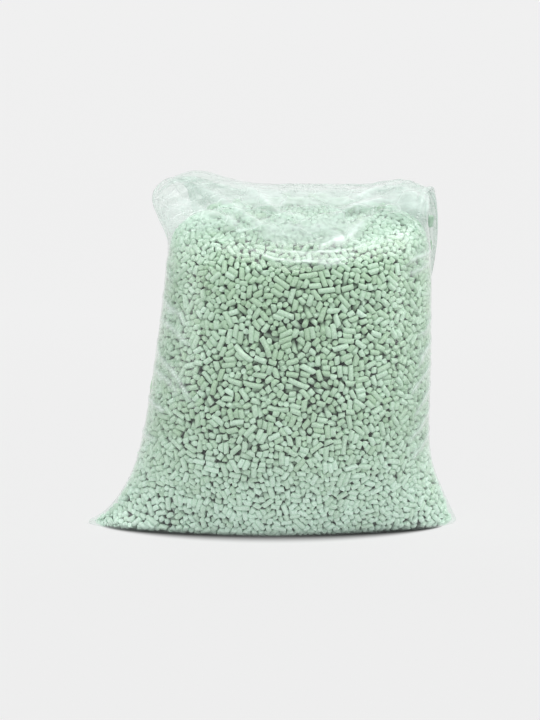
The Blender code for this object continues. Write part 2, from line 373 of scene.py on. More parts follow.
@functools.lru_cache(maxsize=None)
def single_pellets():
    """The separate CAD pellets as rods: two ends of each axis."""
    rods = []
    for name in PELLET_NODES:
        points = np.array([v.co for v in frame["nodes"][name].data.vertices])
        middle = points.mean(axis=0)
        _, _, axes = np.linalg.svd(points - middle, full_matrices=False)
        reach = np.abs((points - middle) @ axes[0]).max() - 0.001
        rods.append((middle - axes[0] * reach, middle + axes[0] * reach))
    return rods


# ---------------------------------------------------------------- litter pellets


def litter_core_mesh(depth):
    """The unseen middle of the heap, a closed shape that deep under its surface."""
    shape = bed_mesh()
    mesh = bpy.data.meshes.new("litter_core_start")
    shape.to_mesh(mesh)
    shape.free()
    start = bpy.data.objects.new("litter_core_start", mesh)
    bpy.context.scene.collection.objects.link(start)
    field = heap_field()
    coarse, fine = 0.005, 0.004
    for size in (coarse, fine):
        remesh = start.modifiers.new("remesh", "REMESH")
        remesh.mode = "VOXEL"
        remesh.voxel_size = size
        remesh.use_smooth_shade = True
        solid = bpy.data.meshes.new_from_object(start.evaluated_get(bpy.context.evaluated_depsgraph_get()))
        start.modifiers.clear()
        if size == coarse:
            points = np.array([v.co for v in solid.vertices])
            for _ in range(12):
                away, slope = field.sample(points)
                points -= slope * np.clip(away + depth, 0, 0.001)[:, None]
            solid.vertices.foreach_set("co", points.ravel())
        start.data = solid
    bpy.data.objects.remove(start)
    return solid


def near_pairs(centres, reach):
    """Pairs of pellets close enough to touch; pellets come longest first."""
    tree = KDTree(len(centres))
    for i, centre in enumerate(centres):
        tree.insert(centre, i)
    tree.balance()
    first, second = [], []
    for i, centre in enumerate(centres):
        found = [j for _, j, _ in tree.find_range(centre, reach[i]) if j > i]
        first.extend([i] * len(found))
        second.extend(found)
    return np.array(first), np.array(second)


def nearest_on_rods(start_a, end_a, start_b, end_b):
    """Shares along two sets of rods where each pair comes nearest."""
    span_a, span_b, offset = end_a - start_a, end_b - start_b, start_a - start_b
    aa = np.maximum((span_a * span_a).sum(-1), 1e-12)
    bb = np.maximum((span_b * span_b).sum(-1), 1e-12)
    ab = (span_a * span_b).sum(-1)
    ca, fb = (span_a * offset).sum(-1), (span_b * offset).sum(-1)
    share_a = np.clip((ab * fb - ca * bb) / np.maximum(aa * bb - ab * ab, 1e-14), 0, 1)
    share_b = np.clip((ab * share_a + fb) / bb, 0, 1)
    share_a = np.clip((ab * share_b - ca) / aa, 0, 1)
    return share_a, share_b


def gathered(index, values, count):
    """The values added up for each pellet."""
    return np.stack([np.bincount(index, values[:, k], count) for k in range(3)], axis=1)


def near_middle(spots, reach):
    """How near each spot is to the middle of the heap as seen from the front, from 0 to 1."""
    across, up = reach
    return np.exp(
        -(((spots[:, 0] - MIDDLE_X) / across) ** 2) - ((spots[:, 2] - MIDDLE_HEIGHT) / up) ** 2
    )


def strewn_pellets(rng, count, radius, shell, proud):
    """First places and lengths of the pellets, longest first."""
    field = heap_field()
    low, high = field.low + 0.01, field.low + (field.counts - 1) * FIELD_STEP - 0.01
    spots = rng.uniform(low, high, (count * 12, 3))
    away, _ = field.sample(spots)
    loose = near_middle(spots, LOOSE_REACH)
    loose *= spots[:, 1] < 0
    keep = (away < proud - radius) & (away > -shell) & (rng.random(len(spots)) > 0.30 * loose)
    spots, loose = spots[keep][:count], loose[keep][:count]
    # shorter low in the bag, longer in the loose middle
    typical = 1.34 + 0.16 * np.clip(spots[:, 2] / 0.1, 0, 1) + 0.35 * loose
    lengths = 2 * radius * np.clip(rng.lognormal(np.log(typical), 0.36), *LENGTH_LIMITS)
    order = np.argsort(-lengths)
    return spots[order], lengths[order]


def pushed_apart(start, end, first, second, near):
    """Both ends of every pellet after each touching pair has given way by half its overlap."""
    total = len(start)
    share_a, share_b = nearest_on_rods(start[first], end[first], start[second], end[second])
    spot_a = start[first] + share_a[:, None] * (end - start)[first]
    spot_b = start[second] + share_b[:, None] * (end - start)[second]
    gap = spot_a - spot_b
    distance = np.maximum(np.linalg.norm(gap, axis=1), TINY)
    touching = distance < near
    push = gap[touching] * ((near - distance[touching]) / distance[touching] * 0.5)[:, None]
    one, two = first[touching], second[touching]
    sa, sb = share_a[touching][:, None], share_b[touching][:, None]
    move_start = gathered(one, push * (1 - sa), total) - gathered(two, push * (1 - sb), total)
    move_end = gathered(one, push * sa, total) - gathered(two, push * sb, total)
    # a crowded pellet gives way less to each neighbour, so the pile doesn't shake
    crowd = np.bincount(one, minlength=total) + np.bincount(two, minlength=total)
    ease = (1.5 / np.maximum(crowd, 1.5) ** 0.6)[:, None]
    return start + move_start * ease, end + move_end * ease


def clear_single_pellets(start, end, near):
    """Moves the ends, in place, off the single pellets, which stay where they are."""
    for rod_start, rod_end in single_pellets():
        close = np.linalg.norm((start + end) / 2 - (rod_start + rod_end) / 2, axis=1) < SINGLE_REACH
        if not close.any():
            continue
        ones = np.ones((close.sum(), 3))
        sa, sb = nearest_on_rods(start[close], end[close], ones * rod_start, ones * rod_end)
        spot = start[close] + sa[:, None] * (end - start)[close]
        gap = spot - (rod_start + sb[:, None] * (rod_end - rod_start))
        distance = np.maximum(np.linalg.norm(gap, axis=1), TINY)
        push = gap * (np.maximum(near - distance, 0) / distance)[:, None]
        start[close] += push * (1 - sa)[:, None]
        end[close] += push * sa[:, None]


def keep_in_layer(ends, radius, shell, proud, drift):
    """Drifts the ends outwards, in place, but not past the film or floor, and not too deep."""
    away, slope = heap_field().sample(ends)
    most = proud - radius + SIDE_SPREAD * slope[:, 0] ** 2
    ends += slope * (drift - np.maximum(away + drift - most, 0))[:, None]
    ends += slope * np.maximum(-shell - away, 0)[:, None]
    ends[:, 2] = np.maximum(ends[:, 2], 1.06 * radius)


def settle_pellets(count, radius, shell, proud):
    """Shakes pellets into a packed layer just under the film: centres, directions and lengths."""
    rng = np.random.default_rng(5)
    spots, lengths = strewn_pellets(rng, count, radius, shell, proud)
    half = np.maximum(lengths / 2 - radius * 0.62, radius * 0.2)
    turn = rng.normal(size=spots.shape)
    turn /= np.linalg.norm(turn, axis=1, keepdims=True)
    start, end = spots - turn * half[:, None], spots + turn * half[:, None]
    near = 2 * radius * TOUCH
    reach = np.minimum(2 * half, half + 0.004) + 2 * radius + 0.0012
    for step in range(PACK_STEPS):
        if step % 8 == 0:
            first, second = near_pairs((start + end) / 2, reach)
        start, end = pushed_apart(start, end, first, second, near)
        clear_single_pellets(start, end, near)
        for ends in (start, end):
            keep_in_layer(ends, radius, shell, proud, SWELL if step < SWELL_STEPS else 0.0)
        middle, span = (start + end) / 2, end - start
        span /= np.maximum(np.linalg.norm(span, axis=1, keepdims=True), 1e-9)
        start, end = middle - span * half[:, None], middle + span * half[:, None]
    return (start + end) / 2, span, lengths


def crumb_spots(rng):
    """Spots to try for crumbs, every other one in a base corner, and their room to the film."""
    low, high = (np.array(corner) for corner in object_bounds())
    spots = rng.uniform(low, (high[0], high[1], 0.05), (CRUMB_TRIES, 3))
    corner = spots[::2]
    corner[:, 0] = np.where(corner[:, 0] < 0, -1, 1) * rng.uniform(0.092, 0.1165, len(corner))
    corner[:, 1] = rng.uniform(-0.03, 0.03, len(corner))
    corner[:, 2] = rng.uniform(0.0005, 0.012, len(corner))
    away, _ = heap_field().sample(spots)
    inside = (away < -CRUMB_DEPTHS[0]) & (away > -CRUMB_DEPTHS[1])
    return spots[inside], -away[inside]


def broken_crumbs(centres, turns, lengths, radius):
    """Small crumbs in the room left between the pellets, in the base corners and low in the heap."""
    tree = KDTree(len(centres))
    for i, centre in enumerate(centres):
        tree.insert(centre, i)
    tree.balance()
    kept, sizes = [], []
    for spot, size in zip(*crumb_spots(np.random.default_rng(31))):
        size = min(size, CRUMB_SIZES[1] * radius)
        for _, i, _ in tree.find_range(spot, 0.0085):
            limit = lengths[i] / 2 - 0.5 * radius
            along = np.clip((spot - centres[i]) @ turns[i], -limit, limit)
            size = min(size, np.linalg.norm(spot - centres[i] - turns[i] * along) - radius)
        if size < CRUMB_SIZES[0] * radius:
            continue
        if kept and np.min(np.linalg.norm(np.array(kept) - spot, axis=1) - np.array(sizes)) < 0.8 * size:
            continue
        kept.append(spot)
        sizes.append(size)
    return np.array(kept), np.array(sizes) / radius


def pellet_template(name, radius, slenderness, seed):
    """One broken length of extruded rod, along z: a slightly bent rod with uneven snapped ends."""
    rng = np.random.default_rng(seed)
    length = 2 * radius * slenderness
    sides = PELLET_SIDES
    bend = rng.uniform(-0.06, 0.06) * length * max(slenderness - 1.6, 0)
    rings = [(-0.5, 0.88), (-0.5 + 0.13 / slenderness, 1.0)]
    if slenderness > 2.4:
        rings.append((0.0, 1.0))
    rings += [(0.5 - 0.13 / slenderness, 1.0), (0.5, 0.88)]
    tilt = rng.normal(0, 0.22, (2, 2))
    shape = bmesh.new()
    loops = []
    for share, width in rings:
        loop = []
        for k in range(sides):
            angle = 2 * math.pi * (k + 0.5 * rng.uniform(-0.3, 0.3)) / sides
            across = Vector((math.cos(angle), math.sin(angle))) * radius * width * (1 + rng.normal(0, 0.025))
            lean = tilt[0 if share < 0 else 1]
            rough = rng.normal(0, 0.10) * radius if abs(share) > 0.4 else 0
            height = share * length + (across.x * lean[0] + across.y * lean[1]) * abs(share) * 2 + rough
            loop.append(shape.verts.new((across.x + bend * (1 - 4 * share * share), across.y, height)))
        loops.append(loop)
    for lower, upper in zip(loops, loops[1:]):
        for k in range(sides):
            shape.faces.new((lower[k], lower[(k + 1) % sides], upper[(k + 1) % sides], upper[k]))
    for loop, out in ((loops[0][::-1], -1), (loops[-1], 1)):
        middle = sum((vert.co for vert in loop), Vector()) / sides
        middle.z += out * rng.uniform(-0.10, 0.16) * radius
        peak = shape.verts.new(middle)
        for k in range(sides):
            shape.faces.new((loop[k], loop[(k + 1) % sides], peak))
    for face in shape.faces:
        face.smooth = abs(face.calc_center_median().z) < (0.5 - 0.06 / slenderness) * length
    mesh = bpy.data.meshes.new(name)
    shape.to_mesh(mesh)
    shape.free()
    return bpy.data.objects.new(name, mesh)


def pellet_tree(kinds, material):
    """Puts a pellet of the right kind on every point, turned and stretched by the point's attributes."""
    tree = bpy.data.node_groups.new("litter_pellets", "GeometryNodeTree")
    tree.interface.new_socket("Points", in_out="INPUT", socket_type="NodeSocketGeometry")
    size = tree.interface.new_socket("Pellet size", in_out="INPUT", socket_type="NodeSocketFloat")
    size.default_value = 1
    tree.interface.new_socket("Litter", in_out="OUTPUT", socket_type="NodeSocketGeometry")
    source = add_node(tree, "NodeGroupInput")
    turn = add_node(tree, "GeometryNodeInputNamedAttribute", {"data_type": "FLOAT_VECTOR", "Name": "turn"})
    stretch = add_node(
        tree, "GeometryNodeInputNamedAttribute", {"data_type": "FLOAT_VECTOR", "Name": "stretch"}
    )
    kind = add_node(tree, "GeometryNodeInputNamedAttribute", {"data_type": "INT", "Name": "kind"})
    scale = add_node(
        tree,
        "ShaderNodeVectorMath",
        {"operation": "SCALE"},
        {0: stretch.outputs["Attribute"], "Scale": source.outputs["Pellet size"]},
    )
    rotation = add_node(tree, "FunctionNodeEulerToRotation", None, {0: turn.outputs["Attribute"]})
    choices = add_node(
        tree,
        "GeometryNodeCollectionInfo",
        {"Collection": kinds, "Separate Children": True, "Reset Children": True},
    )
    spread = add_node(
        tree,
        "GeometryNodeInstanceOnPoints",
        {"Pick Instance": True},
        {
            "Points": source.outputs["Points"],
            "Instance": choices.outputs[0],
            "Instance Index": kind.outputs["Attribute"],
            "Rotation": rotation.outputs[0],
            "Scale": scale.outputs[0],
        },
    )
    real = add_node(tree, "GeometryNodeRealizeInstances", None, {0: spread.outputs[0]})
    painted = add_node(tree, "GeometryNodeSetMaterial", {"Material": material}, {"Geometry": real.outputs[0]})
    add_node(tree, "NodeGroupOutput", None, {0: painted.outputs[0]})
    return tree


def pellet_material(name, packed):
    """Pressed bean-fibre litter, extruded: dry, matte, pale green and mealy, with painted shade darkening it
    deep between pellets.
    """
    material = blank_material(name)
    tree = material.node_tree
    place = add_node(tree, "ShaderNodeTexCoord")
    if packed:
        tint = add_node(tree, "ShaderNodeAttribute", {"attribute_name": "tint"})
    else:
        tint = add_node(tree, "ShaderNodeTexNoise", {"Scale": 60.0}, {"Vector": place.outputs["Object"]})
    # 1.2 mm blotches where the pressed meal is drier, and a 0.35 mm grain
    blotch = add_node(
        tree, "ShaderNodeTexNoise", {"Scale": 800.0, "Detail": 3.0}, {"Vector": place.outputs["Object"]}
    )
    grain = add_node(
        tree, "ShaderNodeTexNoise", {"Scale": 2800.0, "Detail": 2.0}, {"Vector": place.outputs["Object"]}
    )
    pale, deep = hex_colour(PELLET_PALE), hex_colour(PELLET_DEEP)
    body = add_node(
        tree,
        "ShaderNodeMix",
        {"data_type": "RGBA", "clamp_factor": False, 6: (*deep, 1), 7: (*pale, 1)},
        {0: tint.outputs["Fac"]},
    )
    shade = add_node(
        tree, "ShaderNodeMapRange", {"From Min": 0.3, "From Max": 0.7, "To Min": 0.86, "To Max": 1.08},
        {"Value": blotch.outputs["Fac"]},
    )
    colour = add_node(
        tree,
        "ShaderNodeMix",
        {"data_type": "RGBA", "blend_type": "MULTIPLY", 0: 1.0},
        {6: body.outputs[2], 7: shade.outputs["Result"]},
    )
    # painted shade: the colour darkens towards PELLET_SHADE the deeper each corner lies under the heap's
    # surface
    depth = add_node(tree, "ShaderNodeAttribute", {"attribute_name": "depth"})
    buried = add_node(
        tree, "ShaderNodeMapRange", {"From Min": 0.9, "From Max": 4.4, "To Min": 1.0, "To Max": 0.0,
                                     "interpolation_type": "SMOOTHSTEP"},
        {"Value": depth.outputs["Fac"]},
    )
    painted_shading = add_node(
        tree,
        "ShaderNodeMix",
        {"data_type": "RGBA", 6: (*hex_colour(PELLET_SHADE), 1)},
        {0: buried.outputs["Result"], 7: colour.outputs[2]},
    )
    bump = add_node(
        tree, "ShaderNodeBump", {"Strength": 0.35, "Distance": 0.0002}, {"Height": grain.outputs["Fac"]}
    )
    shader = add_node(
        tree,
        "ShaderNodeBsdfPrincipled",
        {"Roughness": 0.85, "Specular IOR Level": 0.3},
        {"Base Color": painted_shading.outputs[2], "Normal": bump.outputs["Normal"]},
    )
    add_node(tree, "ShaderNodeOutputMaterial", None, {"Surface": shader.outputs[0]})
    return material


def core_material():
    """Painted shade: the heap's hidden middle painted dark, for the same litter lying in shade deep between
    the pellets.
    """
    material = blank_material("shaded_litter")
    tree = material.node_tree
    place = add_node(tree, "ShaderNodeTexCoord")
    cells = add_node(
        tree, "ShaderNodeTexVoronoi", {"Scale": 260.0}, {"Vector": place.outputs["Object"]}
    )
    dark, light = hex_colour(CORE_DARK), hex_colour(CORE_PALE)
    colour = add_node(
        tree,
        "ShaderNodeMix",
        {"data_type": "RGBA", 6: (*light, 1), 7: (*dark, 1)},
        {0: cells.outputs["Distance"]},
    )
    bump = add_node(
        tree, "ShaderNodeBump", {"Strength": 1.0, "Distance": 0.002}, {"Height": cells.outputs["Distance"]}
    )
    shader = add_node(
        tree,
        "ShaderNodeBsdfPrincipled",
        {"Roughness": 0.9},
        {"Base Color": colour.outputs[2], "Normal": bump.outputs["Normal"]},
    )
    add_node(tree, "ShaderNodeOutputMaterial", None, {"Surface": shader.outputs[0]})
    return material


def pellet_kinds(radius):
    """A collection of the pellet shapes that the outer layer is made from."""
    kinds = bpy.data.collections.new("pellet_kinds")
    for i, slenderness in enumerate(PELLET_KINDS):
        for copy in range(KIND_COPIES):
            name = f"pellet_kind_{i:02d}_{copy}"
            kinds.objects.link(pellet_template(name, radius, slenderness, 40 + 7 * i + copy))
    return kinds


def pellet_places(settings):
    """Where every pellet and crumb lies, and its turn, stretch, kind and tint there."""
    radius = settings.pellet_diameter / 2
    centres, turns, lengths = settle_pellets(
        settings.pellet_count, radius, settings.shell_depth, settings.pellet_proud
    )
    crumbs, crumb_sizes = broken_crumbs(centres, turns, lengths, radius)
    rng = np.random.default_rng(21)
    slender = lengths / (2 * radius)
    nearest = np.abs(slender[:, None] - np.array(PELLET_KINDS)).argmin(axis=1)
    kind = nearest * KIND_COPIES + rng.integers(0, KIND_COPIES, len(slender))
    stretch = np.ones((len(slender), 3)) * rng.normal(1.0, 0.03, len(slender))[:, None]
    stretch[:, 2] = slender / np.array(PELLET_KINDS)[nearest]
    centres = np.vstack([centres, crumbs])
    turns = np.vstack([turns, rng.normal(size=crumbs.shape)])
    kind = np.concatenate([kind, rng.integers(0, 2 * KIND_COPIES, len(crumbs))])
    stretch = np.vstack([stretch, crumb_sizes[:, None] * rng.uniform(0.75, 1.1, crumbs.shape)])
    spin = rng.uniform(0, 2 * math.pi, len(centres))
    euler = np.array([
        (Vector(turn).to_track_quat("Z", "Y").to_matrix() @ Matrix.Rotation(angle, 3, "Z")).to_euler()
        for turn, angle in zip(turns, spin)
    ])
    looks = (
        ("turn", "FLOAT_VECTOR", euler),
        ("stretch", "FLOAT_VECTOR", stretch),
        ("kind", "INT", kind.astype(np.int32)),
        ("tint", "FLOAT", pellet_tints(rng, centres)),
    )
    return centres, looks


def pellet_tints(rng, centres):
    """How pale each pellet is: darker in the middle, with painted light making it paler low in the bag and at
    the crown.
    """
    middle = near_middle(centres, MIDDLE_TINT_REACH)
    painted_shading = np.clip((0.075 - centres[:, 2]) / 0.075, 0, 1)
    top = np.clip((centres[:, 2] - 0.168) / 0.02, 0, 1)
    # painted light: pellets low in the bag and at the crown are made paler to stand for the light falling on
    # them
    tint = rng.normal(0.50, 0.25, len(centres)) - 0.3 * middle + 1.1 * painted_shading + 0.8 * top
    return np.clip(tint, 0, 1.6)


def side_of_heap(centres):
    """Which of SIDES each pellet lies on, from the way the heap's surface faces there."""
    _, slope = heap_field().sample(centres)
    level = np.where(slope[:, 2] > 0, SIDES.index("crown"), SIDES.index("base"))
    broad = np.where(slope[:, 1] < 0, SIDES.index("front"), SIDES.index("back"))
    narrow = np.where(slope[:, 0] < 0, SIDES.index("left"), SIDES.index("right"))
    upright = np.where(np.abs(slope[:, 1]) > 0.62, broad, narrow)
    return np.where(np.abs(slope[:, 2]) > 0.7, level, upright)


def points_object(centres, looks, chosen):
    """The chosen points with their attributes, for pellets to grow on."""
    points = bpy.data.meshes.new("points")
    points.from_pydata(centres[chosen].tolist(), [], [])
    for name, kind_of, values in looks:
        layer = points.attributes.new(name, kind_of, "POINT")
        layer.data.foreach_set("vector" if kind_of == "FLOAT_VECTOR" else "value", values[chosen].ravel())
    holder = bpy.data.objects.new("pellet_points", points)
    bpy.context.scene.collection.objects.link(holder)
    return holder


def grown_pellets(holder, tree, name):
    """The pellets on those points as a plain mesh that knows how deep each corner lies."""
    modifier = holder.modifiers.new("pellets", "NODES")
    modifier.node_group = tree
    size = next(item for item in tree.interface.items_tree if item.name == "Pellet size")
    modifier[size.identifier] = 1.0
    graph = bpy.context.evaluated_depsgraph_get()
    mesh = bpy.data.meshes.new_from_object(holder.evaluated_get(graph), depsgraph=graph)
    mesh.name = name
    corners = np.empty(len(mesh.vertices) * 3)
    mesh.vertices.foreach_get("co", corners)
    corners[2::3] = np.maximum(corners[2::3], PELLETS_FROM_FLOOR)
    mesh.vertices.foreach_set("co", corners)
    away, _ = heap_field().sample(corners.reshape(-1, 3))
    # how deep each corner lies, which the material turns into painted shade
    layer = mesh.attributes.new("depth", "FLOAT", "POINT")
    layer.data.foreach_set("value", -away * 1000)
    bpy.data.objects.remove(holder)
    return mesh


def pellet_pieces(settings, material):
    """All the pellets of the outer layer, as one piece for each side of the heap."""
    centres, looks = pellet_places(settings)
    kinds = pellet_kinds(settings.pellet_diameter / 2)
    tree = pellet_tree(kinds, material)
    side = side_of_heap(centres)
    pieces = []
    for number, where in enumerate(SIDES):
        mesh = grown_pellets(points_object(centres, looks, side == number), tree, f"litter_{where}")
        pieces.append(add_piece(f"litter_{where}", mesh, material))
    for template in list(kinds.objects):
        bpy.data.objects.remove(template)
    bpy.data.collections.remove(kinds)
    return pieces


# ---------------------------------------------------------------- film


def film_stations(reach=0.0):
    """The tube's rings from the bottom weld to the mouth; reach draws the base corners further out."""
    levels = [(0, -SEAM_HALF, SEAM_HALF, 0, BODY[0][4]), *BODY]
    rows = []
    for height, left, right, depth, square in levels:
        edge, drawn = max(height, TIP_LIFT), reach * math.exp(-height / 0.008)
        left, right = left - drawn, right + 0.4 * drawn
        rows.append((left, 0, edge, -depth, height, right, 0, edge, depth, height, square, 8.0))
    rows += [(*row, NECK_SQUARE, 4.0) for row in NECK]
    return np.array(rows)


def spline(keys, places):
    """Values at each place along a Catmull-Rom spline through the key rows, one key per unit."""
    padded = np.vstack([2 * keys[0] - keys[1], keys, 2 * keys[-1] - keys[-2]])
    i = np.minimum(places.astype(int), len(keys) - 2)
    t = (places - i)[:, None]
    before, start, end, after = (padded[i + k] for k in range(4))
    return (
        start * (2 * t**3 - 3 * t**2 + 1)
        + end * (3 * t**2 - 2 * t**3)
        + (end - before) / 2 * (t**3 - 2 * t**2 + t)
        + (after - start) / 2 * (t**3 - t**2)
    )


def guide_ring(row, place, columns):
    """One ring, evenly spaced along each of its two faces, from the right edge round by the back."""
    left, front, right, back = row[0:3], row[3:5], row[5:8], row[8:10]
    square, edge = row[10], row[11]
    middle = (left + right) / 2
    fine = 16 * columns
    angles = np.arange(fine) * 2 * math.pi / fine
    cosine, sine = np.round(np.cos(angles), 9), np.round(np.sin(angles), 9)
    across, along = np.abs(cosine) ** (2 / square), np.abs(sine) ** (2 / square)
    side = np.where(cosine[:, None] > 0, right, left)
    face = np.where(sine[:, None] > 0, back, front)
    x = middle[0] + across * (side[:, 0] - middle[0])
    y = middle[1] + across * (side[:, 1] - middle[1]) + along * (face[:, 0] - middle[1])
    z = np.maximum(face[:, 1] + (side[:, 2] - face[:, 1]) * across**edge, 0)
    share = math.exp(-(((place - (1 + len(BODY) + EAR_ROW)) / EAR_REACH) ** 2))
    for ear_x, spread, rise in EARS:
        z = z + rise * share * np.exp(-(((x - ear_x) / spread) ** 2))
    ring = np.stack([x, y, z], axis=1)
    ring = np.vstack([ring, ring[:1]])
    halves = []
    for half in (ring[: fine // 2 + 1], ring[fine // 2 :]):
        run = np.concatenate([[0], np.cumsum(np.linalg.norm(np.diff(half, axis=0), axis=1))])
        want = np.linspace(0, run[-1], columns // 2 + 1)[:-1]
        halves.append(np.stack([np.interp(want, run, half[:, k]) for k in range(3)], axis=1))
    return np.vstack(halves)


def guide_film(rings, columns):
    """The whole tube as rings by columns, evenly spaced along its length."""
    stations = film_stations(CORNER_REACH)
    fine = np.linspace(0, len(stations) - 1, 400)
    rows = spline(stations, fine)
    level = np.zeros(len(rows))
    runs = [rows[:, 0:3], rows[:, 5:8], np.c_[level, rows[:, 3:5]], np.c_[level, rows[:, 8:10]]]
    step = sum(np.linalg.norm(np.diff(run, axis=0), axis=1) for run in runs) / 4
    run = np.concatenate([[0], np.cumsum(step)])
    places = np.interp(np.linspace(0, run[-1], rings), run, fine)
    film = np.array([guide_ring(row, place, columns) for row, place in zip(spline(stations, places), places)])
    return film - guide_shift()


@functools.lru_cache(maxsize=None)
def guide_shift():
    """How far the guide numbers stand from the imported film, whose box is centred on the origin."""
    stations = film_stations()
    places = np.linspace(0, len(stations) - 1, 41)
    rings = [guide_ring(row, place, 48) for row, place in zip(spline(stations, places), places)]
    points = np.vstack(rings)
    shift = (points.min(axis=0) + points.max(axis=0)) / 2
    return np.array([shift[0], shift[1], 0.0])


def pull(one, two, rest, firm, slack):
    """Moves two sets of points towards their rest distance: firmly if stretched, slackly if squeezed."""
    gap = two - one
    distance = np.maximum(np.linalg.norm(gap, axis=-1), 1e-9)
    error = distance - rest
    move = gap * (np.where(error > 0, firm, slack) * error / distance / 2)[..., None]
    return move


def relax_film(film, rest_along, rest_round, hold, guide, field, clear, steps, stiff):
    """Lets the tube take up its spare film in folds, resting on the heap and the floor."""
    rings, columns, _ = film.shape
    for step in range(steps):
        for odd in (0, 1):
            one, two = film[odd:-1:2], film[odd + 1 :: 2]
            move = pull(one, two, rest_along[odd::2], 1.0, 0.7)
            film[odd:-1:2] += move
            film[odd + 1 :: 2] -= move
            other = np.roll(film, -odd, axis=1)
            move = pull(other[:, 0::2], other[:, 1::2], np.roll(rest_round, -odd, axis=1)[:, 0::2], 1.0, 0.7)
            other[:, 0::2] += move
            other[:, 1::2] -= move
            film = np.roll(other, odd, axis=1)
        for odd in (0, 1):
            for turn in (-1, 1):
                one, two = film[odd:-1:2], np.roll(film[odd + 1 :: 2], -turn, axis=1)
                rest = np.hypot(rest_along[odd::2], rest_round[odd:-1:2])
                move = pull(one, two, rest, 0.35, 0.25)
                film[odd:-1:2] += move
                film[odd + 1 :: 2] -= np.roll(move, turn, axis=1)
        if stiff:
            around = (np.roll(film, 1, axis=1) + np.roll(film, -1, axis=1)) / 2
            film = film + (around - film) * stiff
            inner = (film[2:] + film[:-2]) / 2
            film[1:-1] += (inner - film[1:-1]) * stiff
        film = film + (guide - film) * hold
        away, slope = field.sample(film)
        most = clear + SIDE_SPREAD * slope[..., 0] ** 2
        film = film + slope * np.maximum(most - away, 0)[..., None]
        film[..., 2] = np.maximum(film[..., 2], 0)
    return film


def refined(grid, rings, columns):
    """The same tube on a finer grid."""
    old_rings, old_columns, _ = grid.shape
    place = np.linspace(0, old_rings - 1, rings)
    low = np.minimum(place.astype(int), old_rings - 2)
    t = (place - low)[:, None, None]
    padded = np.concatenate([2 * grid[:1] - grid[1:2], grid, 2 * grid[-1:] - grid[-2:-1]])
    a, b, c, d = (padded[low + k] for k in range(4))
    tall = b + 0.5 * t * (c - a + t * (2 * a - 5 * b + 4 * c - d + t * (3 * (b - c) + d - a)))
    place = np.arange(columns) * old_columns / columns
    low = place.astype(int)
    t = (place - low)[None, :, None]
    a, b, c, d = (tall[:, (low + k) % old_columns] for k in (-1, 0, 1, 2))
    return b + 0.5 * t * (c - a + t * (2 * a - 5 * b + 4 * c - d + t * (3 * (b - c) + d - a)))


def smooth_noise(rng, shape, cells):
    """Soft random values on a ring-by-column grid, cells apart."""
    coarse = rng.normal(size=(cells[0] + 1, cells[1], 1))
    return refined(coarse, shape[0], shape[1])[..., 0]


def film_normals(film):
    """The outward direction at each point of the film."""
    along = np.gradient(film, axis=0)
    round_ = np.roll(film, -1, axis=1) - np.roll(film, 1, axis=1)
    normal = np.cross(round_, along)
    return normal / np.maximum(np.linalg.norm(normal, axis=-1, keepdims=True), 1e-12)


def settle_film(settings):
    """The film at rest: the guide tube relaxed on coarser, then finer grids."""
    rng = np.random.default_rng(8)
    field = heap_field().with_rods(single_pellets(), SINGLE_RADIUS)
    flat_width, flat_length = settings.flat_width, settings.flat_length
    film = None
    for rings, columns, steps, stiff in FILM_GRIDS:
        guide = guide_film(rings, columns)
        if film is None:
            film = guide.copy()
        else:
            film = refined(film, rings, columns)
        length = np.linspace(0, flat_length, rings)[:, None]
        spare = np.clip((length - SPARE_FROM) / SPARE_OVER, 0, 1)
        now_along = np.linalg.norm(np.diff(guide, axis=0), axis=-1)
        now_round = np.linalg.norm(np.roll(guide, -1, axis=1) - guide, axis=-1)
        share = (spare[1:] + spare[:-1]) / 2
        rest_along = now_along + (flat_length / (rings - 1) - now_along) * share
        rest_round = now_round + (2 * flat_width / columns - now_round) * spare * SPARE_SHARE
        neck = np.clip((length - NECK_FROM) / NECK_OVER, 0, 1)
        normal = film_normals(film)
        broad = smooth_noise(rng, (rings, columns), (9, 12)) * 0.0020
        rough = broad + smooth_noise(rng, (rings, columns), (20, 28)) * 0.0006
        strength = 0.15 + 0.85 * neck
        if rings > 60:
            strength = strength * 0.35
        film = film + normal * (rough * strength)[..., None]
        hold = np.clip(0.25 * (1 - length / 0.09), 0.02, 0.25) * (1 - neck) + 0.03 * neck
        film = relax_film(
            film, rest_along, rest_round, hold[..., None], guide, field, settings.film_clear, steps, stiff
        )
    film = refined(film, *FINE_FILM)
    film, pinched = creased(film, film_normals(film))
    film[..., 2] = np.maximum(film[..., 2], 0)
    return film, *film_whiteness(film, pinched, settings.veil)


def film_whiteness(film, pinched, veil):
    """How milky the film is at each point, more at the sides and neck and where it hangs free; the white
    along the folds and at the glares is painted highlight.
    """
    outward = film_normals(film)
    up = film[..., 2] * math.cos(FRONT_TILT) + film[..., 1] * math.sin(FRONT_TILT)
    side = np.clip((np.abs(outward[..., 0]) - 0.25) / 0.5, 0, 1)
    low = np.clip((0.05 - film[..., 2]) / 0.05, 0, 1)
    neck = np.clip((film[..., 2] - 0.172) / 0.025, 0, 1)
    bare = heap_field().sample(film)[0]
    bare = np.clip((bare - 0.003) / 0.008, 0, 1)
    white = veil * (0.5 + 1.0 * side + 0.8 * low + 2.2 * np.maximum(neck, bare))
    # painted highlight: the film is made whiter where the key light's reflection falls
    painted_glare = np.zeros(white.shape)
    for x, height, wide, tall, most in PAINTED_GLARES:
        near = np.exp(-(((film[..., 0] - x) / wide) ** 4) - np.abs((up - height) / tall) ** 3)
        painted_glare = np.maximum(painted_glare, most * near)
    front = np.clip((0.2 - outward[..., 1]) / 0.3, 0, 1)
    # painted highlight: white along the pinched folds and sharp ridges, for the light the creases catch
    folds = 0.32 * pinched * (1 - 0.3 * neck) + 0.24 * ridge_sharpness(film) * (1 - 0.7 * neck)
    return np.clip(white + painted_glare * front + folds, 0, 0.8), np.maximum(neck, bare)


